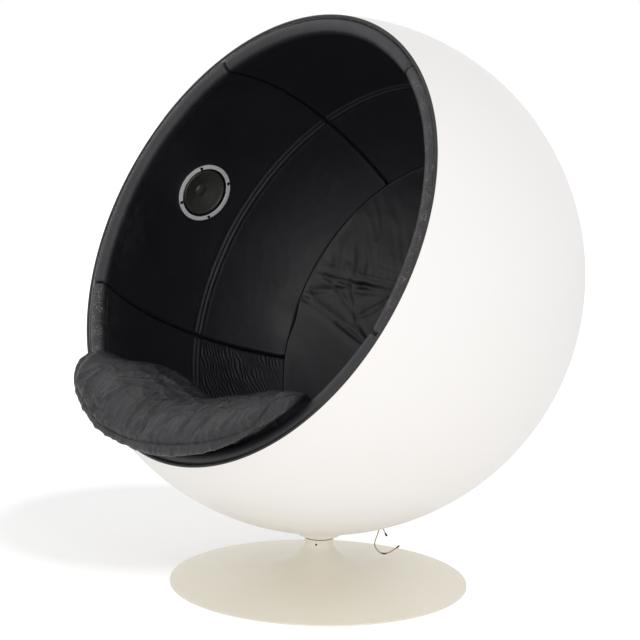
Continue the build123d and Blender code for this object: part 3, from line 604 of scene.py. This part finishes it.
def wall_section(step_length):
    """Section of a wall pad: places, normals, angles from the mouth's axis and whether its skin shows."""
    places, normals, angles, shows = [], [], [], []

    def put(place, normal, angle, seen):
        places.append(place)
        normals.append(normal)
        angles.append(angle)
        shows.append(seen)

    corner_angle = wall_end_angle - math.degrees(pad_corner / lining_face)
    corner_middle = polar(lining_face + pad_corner, corner_angle)
    for turn in np.linspace(0, 90, 6):
        across = polar(1, corner_angle + 90) * math.cos(math.radians(turn))
        normal = across - polar(1, corner_angle) * math.sin(math.radians(turn))
        put(corner_middle + pad_corner * normal, normal, corner_angle, 1.0)
    step = math.degrees(step_length / lining_face)
    face_angles = np.arange(corner_angle - step, roll_angle, -step)
    near_seam = seam_angle + np.degrees(np.arange(-0.016, 0.0161, 0.0010) / lining_face)
    away_from_seam = np.abs(face_angles - seam_angle) > math.degrees(0.017 / lining_face)
    for angle in sorted([*face_angles[away_from_seam], *near_seam], reverse=True):
        put(polar(lining_face, angle), -polar(1, angle), angle, 1.0)
    roll_centre = polar(roll_middle, roll_angle)
    for turn in np.linspace(0, 180, 21):
        forwards = -polar(1, roll_angle + 90) * math.sin(math.radians(turn))
        normal = forwards - polar(1, roll_angle) * math.cos(math.radians(turn))
        put(roll_centre + roll_radius * normal, normal, roll_angle - turn / 90, fade(175.0 - turn, 0, 30))
    for angle in np.linspace(roll_angle + 1, wall_end_angle, 12):
        put(polar(lining_outside, angle), polar(1, angle), angle, 0.0)
    return np.array(places), np.array(normals), np.array(angles), np.array(shows)


def edge_drop(distance, edge):
    """How far the skin sinks at a distance from a pad's edge with that rounding."""
    left = np.clip(edge - distance, 0, edge)
    rounding = edge - np.sqrt(np.maximum(edge**2 - left**2, 0))
    return rounding + pad_crown * np.exp(-distance / 0.030)


def make_wall(name, start, end, step_length, spacing):
    """One wall pad with its rolled rim, closed all round."""
    places, normals, angles, shows = wall_section(step_length)
    start += math.degrees(joint_gap / 2 / lining_face)
    end -= math.degrees(joint_gap / 2 / lining_face)
    width = math.radians(end - start) * lining_face
    rounded = pad_edge * (1 - np.cos(np.linspace(0, math.pi / 2, 7)))
    inside = np.linspace(pad_edge, width - pad_edge, int(width / spacing))[1:-1]
    stations = np.concatenate([rounded, inside, width - rounded[::-1]])
    turn = (start + np.degrees(stations / lining_face))[:, None]
    to_edge = np.minimum(stations, width - stations)[:, None]
    skin = mouth_place(places[:, 0], places[:, 1], turn)
    outwards = normals[:, 0, None] * mouth_axis + normals[:, 1, None] * round_direction(turn)
    sink = edge_drop(to_edge, pad_edge) * np.where(shows > 0, 1.0, 0.6)
    height = wall_relief(name, skin, angles) * shows * fade(to_edge, 0, pad_edge)
    points = skin + outwards * (height - sink)[..., None]
    wear_and_sheen = rim_wear_and_sheen(angles, turn, to_edge)
    pad = mesh_object("lining_" + name, points, ring_faces(*points.shape[:2]), lining_leather, wear_and_sheen)
    face_outwards(pad)
    sharpen(pad, 60)
    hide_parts("cover_" + name, "foam_" + name)
    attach(pad, "ball")


def rim_wear_and_sheen(axis_angle, round_angle, to_edge):
    """Rubbed skin and painted sheen on the rolled rim: rubbed most at its low left, and a bit inside it;
    painted sheen at its high right; rubbed specks and painted sheen on its left, also just inside it.
    """
    turn = (round_angle + 180) % 360 - 180
    on_roll = fade(roll_angle + 1.6 - axis_angle, 0.0, 1.0)
    inside = fade(axis_angle, roll_angle, roll_angle + 1.5) * fade(roll_angle + 12 - axis_angle, 0, 9)
    low_left = fade(-turn, 107, 112) * fade(150 + turn, 0, 15)
    # painted sheen: lighter marks at the rim's high right
    high_right_sheen = fade(turn, 20, 60) * fade(112 - turn, 0, 12)
    # rubbed specks and painted sheen on the rim's left, more just inside it
    left = fade(-turn, 78, 90) * fade(106 + turn, 0, 10)
    wear_and_sheen = on_roll * (0.08 + 0.85 * low_left + 0.55 * high_right_sheen + 0.10 * left)
    wear_and_sheen += inside * (0.45 * left + 0.30 * low_left)
    wear_and_sheen += 0.3 * bump(to_edge, 0.005) * on_roll
    return np.clip(wear_and_sheen, 0, 1)


panel_spans = {
    "top": (-top_panel_half_angle, top_panel_half_angle),
    "right": (top_panel_half_angle, bottom_panel_angle),
    "bottom": (bottom_panel_angle, 360 - bottom_panel_angle),
    "left": (-bottom_panel_angle, -top_panel_half_angle),
}
for panel_name, (span_start, span_end) in panel_spans.items():
    section_step = 0.0020 if panel_name == "bottom" else 0.0036
    make_wall(panel_name, span_start, span_end, section_step, 0.0045)


def make_back_pad():
    """Round pad behind the wall pads, with its folds."""
    start_angle = wall_end_angle + math.degrees(back_gap / lining_face)
    last_angle = 179.6
    rounded = back_edge * (1 - np.cos(np.linspace(0, math.pi / 2, 7)))
    edge_angles = np.degrees(rounded / lining_face) + start_angle
    face_angles = np.concatenate([edge_angles, np.linspace(edge_angles[-1], last_angle, 130)[1:]])
    turns = np.arange(420) * 360 / 420
    to_edge = np.radians(face_angles - start_angle)[:, None] * lining_face
    sphere = np.radians(face_angles)[:, None]
    skin = mouth_place(lining_face * np.cos(sphere), lining_face * np.sin(sphere), turns)
    inwards = (ball_centre - skin) / lining_face
    height = back_relief(skin) * fade(to_edge, 0, pad_edge) - edge_drop(to_edge, back_edge)
    front = skin + inwards * height[..., None]
    sphere = np.radians(np.linspace(last_angle, start_angle, 30))[:, None]
    behind = mouth_place(lining_outside * np.cos(sphere), lining_outside * np.sin(sphere), turns)
    points = np.concatenate([behind, front])
    faces = ring_faces(*points.shape[:2])
    pad = mesh_object("lining_back", points, faces, lining_leather, 0 * points[..., 0])
    face_outwards(pad)
    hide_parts("cover_back", "foam_back")
    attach(pad, "ball")


back_folds = [
    ((-0.430, 0.080), (-0.235, 0.101), 0.0042),
    ((-0.235, 0.101), (-0.020, 0.095), 0.0030),
    ((-0.420, 0.030), (-0.264, -0.041), 0.0050),
    ((-0.264, -0.041), (-0.060, -0.080), 0.0036),
    ((0.400, 0.060), (0.180, 0.085), 0.0036),
    ((0.395, -0.020), (0.220, -0.070), 0.0034),
    ((-0.370, 0.088), (-0.270, -0.020), 0.0026),
    ((-0.395, 0.040), (-0.300, 0.096), 0.0024),
    ((-0.330, 0.098), (-0.300, 0.000), 0.0022),
    ((-0.300, 0.020), (-0.235, 0.100), 0.0024),
]


def back_relief(points):
    """Height of the back pad's skin: long folds, upright wrinkles above them, crossed creases between."""
    side, up, _ = to_mouth(points)
    height = 0.0026 * lattice_noise(points, 0.14, 13) + 0.0006 * lattice_noise(points, 0.045, 14)
    wobble = 0.006 * lattice_noise(points, 0.05, 15)
    for first, last, depth in back_folds:
        distance = segment_distance(side, up, first, last) + wobble
        height += -0.8 * depth * bump(distance, 0.0026) + 0.5 * depth * bump(np.abs(distance) - 0.010, 0.008)
    stripes = lattice_noise(np.stack([side, up * 0.16, 0 * up], -1) + 3, 0.020, 16)
    upright = fade(up, 0.100, 0.125) * fade(0.33 - up, 0, 0.10) * fade(np.abs(side), 0.12, 0.22)
    level = lattice_noise(np.stack([side * 0.2, up, 0 * up], -1) + 9, 0.016, 17)
    above_fold = fade(up, 0.098, 0.108) * fade(0.160 - up, 0, 0.03) * fade(np.abs(side), 0.10, 0.20)
    return height + 0.0058 * np.abs(stripes) * upright + 0.0034 * np.abs(level) * above_fold


make_back_pad()


# ---------------- stitches

def make_stitches():
    """Two rows of thread along the seam round the walls, as short rounded pieces."""
    ring = np.arange(6) * math.pi / 3
    lengths = np.array((-0.5, -0.42, 0.42, 0.5)) * stitch_length
    widths = np.array((0.25, 1.0, 1.0, 0.25)) * stitch_radius
    room = math.degrees((joint_gap / 2 + pad_edge) / lining_face)
    pitch = math.degrees(stitch_pitch / lining_face)
    points, faces = [], []
    for name, (start, end) in panel_spans.items():
        for row in (-1, 1):
            angle = seam_angle + row * math.degrees(seam_roll / lining_face)
            for turn in np.arange(start + room, end - room, pitch):
                along, away = polar(lining_face, angle)
                place = mouth_place(along, away, turn)
                inwards = (ball_centre - place) / lining_face
                height = wall_relief(name, place[None], np.array([angle]))[0]
                to_edge = math.radians(min(turn - start, end - turn)) * lining_face
                place = place + inwards * (height - edge_drop(to_edge, pad_edge) + 0.0001)
                heading = np.cross(inwards, mouth_axis)
                heading /= np.linalg.norm(heading)
                across = np.cross(heading, inwards)
                first = len(points)
                for length, width in zip(lengths, widths):
                    for around in ring:
                        points.append(place + heading * length
                                      + width * (math.cos(around) * across + math.sin(around) * inwards))
                faces += [[first + k for k in face] for face in ring_faces(len(lengths), len(ring))]
    stitches = mesh_object("seam_stitches", np.array(points), faces, thread)
    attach(stitches, "ball")


make_stitches()


# ---------------- pieces kept from the frame

def make_speaker_rings():
    """Loudspeaker rings, slightly narrower than their solids."""
    for name, side in (("left", -1), ("right", 1)):
        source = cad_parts["speaker_ring_" + name]
        ring = bpy.data.objects.new("narrow_ring_" + name, source.data.copy())
        scene.collection.objects.link(ring)
        along, away = polar(1, speaker_axis_angle)
        axis = along * mouth_axis + away * round_direction(side * speaker_round_angle)
        from_centre = vertex_places(ring) - ball_centre
        deep = (from_centre @ axis)[:, None] * axis
        radial = from_centre - deep
        radius = np.linalg.norm(radial, axis=1)
        shown = np.interp(radius, (ring_bore, ring_radius), (ring_show_bore, ring_show_radius))
        set_vertex_places(ring, ball_centre + deep + radial * (shown / radius)[:, None])
        ring.data.materials.clear()
        ring.data.materials.append(speaker_grey)
        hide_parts("speaker_ring_" + name)
        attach(ring, "ball")


make_speaker_rings()

finishes = [
    (base_paint, ["base_pedestal", "hub_flange"]),
    (rubber, ["floor_ring", "lead_grommet"]),
    (bronze, ["lower_bush", "upper_bush"]),
    (brown_washer, ["thrust_washer"]),
    (steel, ["spindle", "inner_plate", "hub_bolts", "hub_washers", "retaining_washer", "retaining_nut"]),
    (sleeve_black, ["lead_end_sleeve", "stub_connector"]),
    (black_steel, ["set_screw", "speaker_basket_left", "speaker_basket_right", "speaker_screws_left",
                   "speaker_screws_right"]),
    (speaker_black, ["speaker_cone_left", "speaker_cone_right"]),
    (magnet, ["speaker_magnet_left", "speaker_magnet_right"]),
    (plywood, ["speaker_board_left", "speaker_board_right"]),
    (wire_brown, ["speaker_wire_left", "speaker_wire_right"]),
]
for finish, node_names in finishes:
    for node_name in node_names:
        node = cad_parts[node_name]
        if not node.material_slots:
            node.data.materials.append(finish)
        for material_slot in node.material_slots:
            material_slot.material = finish


# ---------------- free wires under the ball

def make_wires():
    """The loose lead, its stub and the sleeve at its lowest bend."""
    exit_height = -math.sqrt(ball_radius**2 - lead_exit_y**2)
    exit_direction = np.array((0, lead_exit_y, exit_height)) / ball_radius
    exit_point = ball_centre + exit_direction * (ball_radius + hub_clearance + grommet_flange_thickness)
    view = math.radians(lead_view_angle)
    sideways = np.array((math.cos(view), math.sin(view), 0))
    backwards = np.array((-math.sin(view), math.cos(view), 0))
    under_exit = np.array((exit_point[0], exit_point[1], ball_bottom))
    side_step = np.array((lead_radius + wire_channel_gap, 0, 0))

    def route(start, points):
        return [start] + [under_exit + sideways * across + backwards * behind + np.array((0, 0, up))
                          for across, behind, up in points]

    lead_exit = exit_point - side_step
    stub_exit = exit_point + side_step
    lead, lead_path = free_wire("loose_lead", route(lead_exit, lead_points), lead_radius, wire_brown)
    stub, stub_path = free_wire("loose_stub", route(stub_exit, stub_points), lead_radius, wire_brown)
    lowest = int(np.argmin(lead_path[:, 2]))
    sleeve = tube_along("lead_sleeve", lead_path[lowest - 6:lowest + 7], lead_radius + sleeve_wall,
                        sleeve_black, inner=lead_radius + 0.00005)
    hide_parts("speaker_lead")
    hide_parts("stub_lead")
    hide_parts("lead_bend_sleeve")
    for piece, slot_name in ((lead, "wire_brown"), (stub, "wire_brown"), (sleeve, "sleeve_black")):
        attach(piece, "ball")


make_wires()


# ---------------- seat cushion

def make_cushion():
    """Loose seat cushion, swelled by a cloth simulation, then settled and creased."""
    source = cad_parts["seat_cushion"]
    cushion = bpy.data.objects.new("seat_cushion_leather", source.data.copy())
    scene.collection.objects.link(cushion)
    remesh = cushion.modifiers.new("remesh", "REMESH")
    remesh.mode = "VOXEL"
    remesh.voxel_size = cushion_mesh
    apply_modifiers(cushion)
    start = vertex_places(cushion)
    simulate(cushion, start)
    shift = vertex_places(cushion) - start
    length = np.linalg.norm(shift, axis=1)
    shift *= np.minimum(1, swelling_limit / np.maximum(length, 1e-9))[:, None]
    set_vertex_places(cushion, start + shift)
    smooth = cushion.modifiers.new("smooth", "SMOOTH")
    smooth.factor = 0.5
    smooth.iterations = 5
    subdivide = cushion.modifiers.new("subdivide", "SUBSURF")
    subdivide.levels = 1
    apply_modifiers(cushion)
    settle(cushion)
    crease(cushion)
    cushion.data.materials.clear()
    cushion.data.materials.append(cushion_leather)
    cushion.data.polygons.foreach_set("use_smooth", [True] * len(cushion.data.polygons))
    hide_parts("seat_cushion")
    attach(cushion, "cushion")
    make_cushion_seam(cushion)


def apply_modifiers(piece):
    """Make a piece's modifiers part of its mesh."""
    graph = bpy.context.evaluated_depsgraph_get()
    mesh = bpy.data.meshes.new_from_object(piece.evaluated_get(graph), depsgraph=graph)
    piece.modifiers.clear()
    piece.data = mesh


def simulate(piece, start):
    """Swell the piece with air pressure, its underside held."""
    side, up, along = to_mouth(start)
    depth = lining_face - np.sqrt(side**2 + up**2 + along**2)
    under = fade(0.012 - depth, 0, 0.004) * fade(mouth_offset - along, 0, 0.02)
    pinned = piece.vertex_groups.new(name="pinned")
    for index in np.nonzero(under > 0.02)[0]:
        pinned.add([int(index)], float(under[index]), "REPLACE")
    cloth = piece.modifiers.new("cloth", "CLOTH")
    settings = cloth.settings
    settings.quality = 5
    settings.mass = 0.3
    settings.use_pressure = True
    settings.uniform_pressure_force = 4.0
    settings.tension_stiffness = 15
    settings.compression_stiffness = 15
    settings.shear_stiffness = 5
    settings.bending_stiffness = 0.5
    settings.vertex_group_mass = "pinned"
    settings.effector_weights.gravity = 0
    cloth.collision_settings.use_collision = False
    cloth.collision_settings.use_self_collision = False
    cloth.point_cache.frame_start = 1
    cloth.point_cache.frame_end = simulated_steps
    for number in range(1, simulated_steps + 1):
        scene.frame_set(number)
    apply_modifiers(piece)
    piece.vertex_groups.clear()
    scene.frame_set(1)


cushion_creases = [
    ((-0.012, -0.452), (-0.036, -0.372), 0.0042),
    ((-0.062, -0.448), (-0.072, -0.366), 0.0040),
    ((0.036, -0.416), (0.060, -0.360), 0.0038),
    ((0.142, -0.432), (0.167, -0.366), 0.0036),
    ((-0.166, -0.410), (-0.146, -0.364), 0.0030),
    ((-0.188, -0.358), (-0.116, -0.334), 0.0032),
    ((-0.196, -0.303), (-0.103, -0.325), 0.0018),
    ((-0.103, -0.325), (0.026, -0.357), 0.0016),
    ((-0.215, -0.399), (-0.122, -0.452), 0.0034),
    ((-0.240, -0.392), (-0.186, -0.441), 0.0034),
    ((0.213, -0.416), (0.234, -0.366), 0.0032),
    ((0.209, -0.367), (0.195, -0.312), 0.0028),
    ((-0.001, -0.399), (-0.010, -0.352), 0.0030),
    ((0.130, -0.398), (0.158, -0.348), 0.0030),
    ((0.095, -0.440), (0.104, -0.388), 0.0032),
]


def cushion_seam(round_angle):
    """How far the cushion's sewn edge lies from the mouth's axis, at an angle from the bottom."""
    angles, distances = zip(*cushion_seam_line)
    return np.interp(round_angle, angles, distances)


def settle(piece):
    """Sag of the used cushion: the left end lower and fuller, the right end higher, the middle sat down."""
    places = vertex_places(piece)
    normals = vertex_normals(piece)
    side, up, along = to_mouth(places)
    over_rim = fade(along, 0.214, 0.262)
    left = fade(-side, 0.04, 0.20) * over_rim
    crest = fade(up, -0.470, -0.340) * fade(along, 0.02, 0.15)
    right = fade(side, 0.170, 0.260)
    sat = fade(side, -0.06, 0.08) * fade(0.27 - side, 0, 0.09) * fade(0.235 - along, 0, 0.07) * crest
    rise = 0.011 * right * fade(0.345 - side, 0, 0.05) * crest - 0.009 * left - 0.016 * sat
    places = places + mouth_up * rise[:, None] + mouth_side * (0.009 * right * over_rim)[:, None]
    set_vertex_places(piece, places + normals * (0.003 * left)[:, None])


def crease(piece):
    """Pulled creases over the front, the sewn edge along it, and gathers below that."""
    places = vertex_places(piece)
    normals = vertex_normals(piece)
    side, up, along = to_mouth(places)
    away = np.sqrt(side**2 + up**2)
    round_angle = np.degrees(np.arctan2(side, -up))
    outer = fade(along, mouth_offset + 0.004, mouth_offset + 0.030)
    bowl = np.sqrt(away**2 + along**2)
    underside = fade(bowl, lining_face - 0.014, lining_face - 0.006)
    underside *= fade(mouth_offset + 0.01 - along, 0, 0.02)
    to_seam = away - cushion_seam(round_angle)
    below = fade(to_seam, 0.000, 0.004) * outer
    warped = side + 0.016 * lattice_noise(places, 0.085, 21) + 0.005 * lattice_noise(places, 0.03, 22)
    pulled = np.stack([warped, up * 0.16, along * 0.16], -1)
    wide = np.clip(1 - np.abs(lattice_noise(pulled, 0.042, 23)) / 0.30, 0, 1)**1.5
    fine = np.clip(1 - np.abs(lattice_noise(pulled + 5, 0.017, 24)) / 0.30, 0, 1)**1.5
    cross = np.clip(1 - np.abs(lattice_noise(places * (0.45, 1, 1) + 11, 0.034, 25)) / 0.22, 0, 1)**1.5
    top = fade(away, 0.500, 0.380)
    height = (0.0020 * wide + 0.0011 * fine) * (1 - below) + 0.0012 * cross * (0.4 + 0.6 * top)
    height += 0.0022 * lattice_noise(places, 0.085, 26)
    wobble = 0.004 * lattice_noise(places, 0.04, 27)
    front = fade(along, 0.150, 0.185)
    ridge_wear = 0.30 * wide + 0.25 * cross
    for first, last, rise in cushion_creases:
        distance = segment_distance(side, up, first, last) + wobble
        ridge = bump(distance, 0.0032) - 0.50 * bump(np.abs(distance) - 0.0085, 0.005)
        height += 0.75 * rise * front * ridge
        ridge_wear += 0.8 * front * bump(distance, 0.003)
    height *= 1 - 0.7 * below
    gathers = np.stack([np.radians(round_angle) * 0.47, away * 0.3, 0 * away], -1)
    height += 0.0030 * below * (np.abs(lattice_noise(gathers, 0.016, 28)) - 0.25)
    sewn = outer * fade(50.0 - np.abs(round_angle), 0, 3)
    height += sewn * (-0.0034 * bump(to_seam, 0.0042) + 0.0020 * bump(np.abs(to_seam) - 0.013, 0.008))
    set_vertex_places(piece, places + normals * (height * (1 - underside))[:, None])
    set_wear_and_sheen(piece.data, np.clip(0.10 + ridge_wear, 0, 1))


def make_cushion_seam(cushion):
    """Dark thread in the cushion's sewn edge, from its middle to where the edge is lost on each side."""
    longest_step = 0.012
    cushion.data.calc_loop_triangles()
    surface = BVHTree.FromPolygons([vertex.co for vertex in cushion.data.vertices],
                                   [tuple(triangle.vertices) for triangle in cushion.data.loop_triangles])
    halves = []
    for end in (cushion_seam_line[0][0], cushion_seam_line[-1][0]):
        half = []
        for turn in np.linspace(0, end, 131):
            start = mouth_place(mouth_offset + 0.2, cushion_seam(turn), 180.0 - turn)
            place = surface.ray_cast(Vector(start), Vector(-mouth_axis), 0.3)[0]
            if place is None or (half and np.linalg.norm(np.array(place) - half[-1]) > longest_step):
                break
            half.append(np.array(place))
        halves.append(half)
    path = np.array(halves[0][:0:-1] + halves[1]) + 0.0002 * mouth_axis
    seam = tube_along("cushion_seam", path, 0.0009, dark_thread, sides=8)
    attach(seam, "cushion")


make_cushion()


# ---------------- floor, lights and camera

def make_stage():
    """Pale floor that keeps the chair's shadow behind it on its left, under a white sky. It glows a little, a
    painted light that lights the chair from below, and the camera sees it painted whiter away from the
    shadow.
    """
    shadow_middle = (-0.60, 0.0, 0.0)
    material, shader, add, place = new_material("pale floor")
    speckle = noise_texture(add, place, 3.0, 2.0, 0.5)
    tone = mix_colour(add, speckle, (0.90, 0.90, 0.90), (0.92, 0.92, 0.92))
    seen = add("ShaderNodeLightPath").outputs["Is Camera Ray"]
    away = add("ShaderNodeVectorMath", {0: place, 1: shadow_middle}, operation="DISTANCE").outputs["Value"]
    # painted light: every ray sees a faint floor glow, and the camera sees it glow whiter away from the
    # shadow's middle
    painted_floor_glow = math_node(add, "MULTIPLY", seen, remap(add, away, 0.36, 0.64, 0.0, 0.45))
    painted_floor_glow = math_node(add, "ADD", painted_floor_glow, 0.16)
    feed(shader, {"Base Color": tone, "Roughness": 0.9, "Specular IOR Level": 0.1,
                  "Emission Color": (1, 1, 1, 1), "Emission Strength": painted_floor_glow})
    size = 30.0
    corners = [(-size, -size, 0), (size, -size, 0), (size, size, 0), (-size, size, 0)]
    floor = mesh_object("floor", np.array(corners), [[0, 1, 2, 3]], material)
    world = bpy.data.worlds.new("white sky")
    scene.world = world
    world.use_nodes = True
    add = node_adder(world.node_tree)
    rays = add("ShaderNodeLightPath").outputs
    seen = math_node(add, "MAXIMUM", rays["Is Camera Ray"], rays["Is Glossy Ray"])
    seen = math_node(add, "MAXIMUM", seen, rays["Is Transmission Ray"])
    feed(world.node_tree.nodes["Background"], {"Color": (1, 1, 1, 1),
                                               "Strength": remap(add, seen, 0.0, 1.0, 0.80, 1.0)})


def make_lamp(name, place, target, size, power):
    """Square soft lamp that looks at a point."""
    data = bpy.data.lights.new(name, "AREA")
    data.shape = "SQUARE"
    data.size = size
    data.energy = power
    lamp = bpy.data.objects.new(name, data)
    lamp.location = place
    lamp.rotation_mode = "QUATERNION"
    lamp.rotation_quaternion = (Vector(target) - Vector(place)).to_track_quat("-Z", "Y")
    scene.collection.objects.link(lamp)


def make_camera():
    """Camera at the photograph's place, with its small turns away from the ball's centre."""
    distance = 3.68945
    elevation = 0.1149
    azimuth = 0.8458
    yaw, pitch, roll = 0.0024, -0.0253, -0.0228
    focal_pixels = 1742.93
    image_pixels = 640.0
    data = bpy.data.cameras.new("camera")
    data.sensor_width = 36.0
    data.lens = focal_pixels / image_pixels * data.sensor_width
    camera = bpy.data.objects.new("camera", data)
    right = Vector((math.cos(azimuth), math.sin(azimuth), 0))
    back = Vector((right.y * math.cos(elevation), -right.x * math.cos(elevation), math.sin(elevation)))
    forwards = -back
    up = right.cross(forwards)

    def turn(first, second, axis, angle):
        rotation = Matrix.Rotation(angle, 3, axis)
        return rotation @ first, rotation @ second

    forwards, right = turn(forwards, right, up, yaw)
    forwards, up = turn(forwards, up, right, pitch)
    right, up = turn(right, up, forwards, roll)
    place = Vector(ball_centre) + back * distance
    camera.matrix_world = Matrix((
        (right.x, up.x, -forwards.x, place.x),
        (right.y, up.y, -forwards.y, place.y),
        (right.z, up.z, -forwards.z, place.z),
        (0, 0, 0, 1),
    ))
    scene.collection.objects.link(camera)
    scene.camera = camera


make_stage()
make_lamp("key", (3.0, 0.3, 4.0), (0.0, 0.0, 0.5), 2.4, 8.0)
make_lamp("side", (3.25, -1.8, 2.45), (0.0, 0.0, 0.6), 0.45, 11.0)
make_lamp("low front", (2.4, -3.0, 0.6), (0.0, 0.0, 0.4), 2.2, 19.0)
make_camera()
scene.view_settings.view_transform = "Standard"
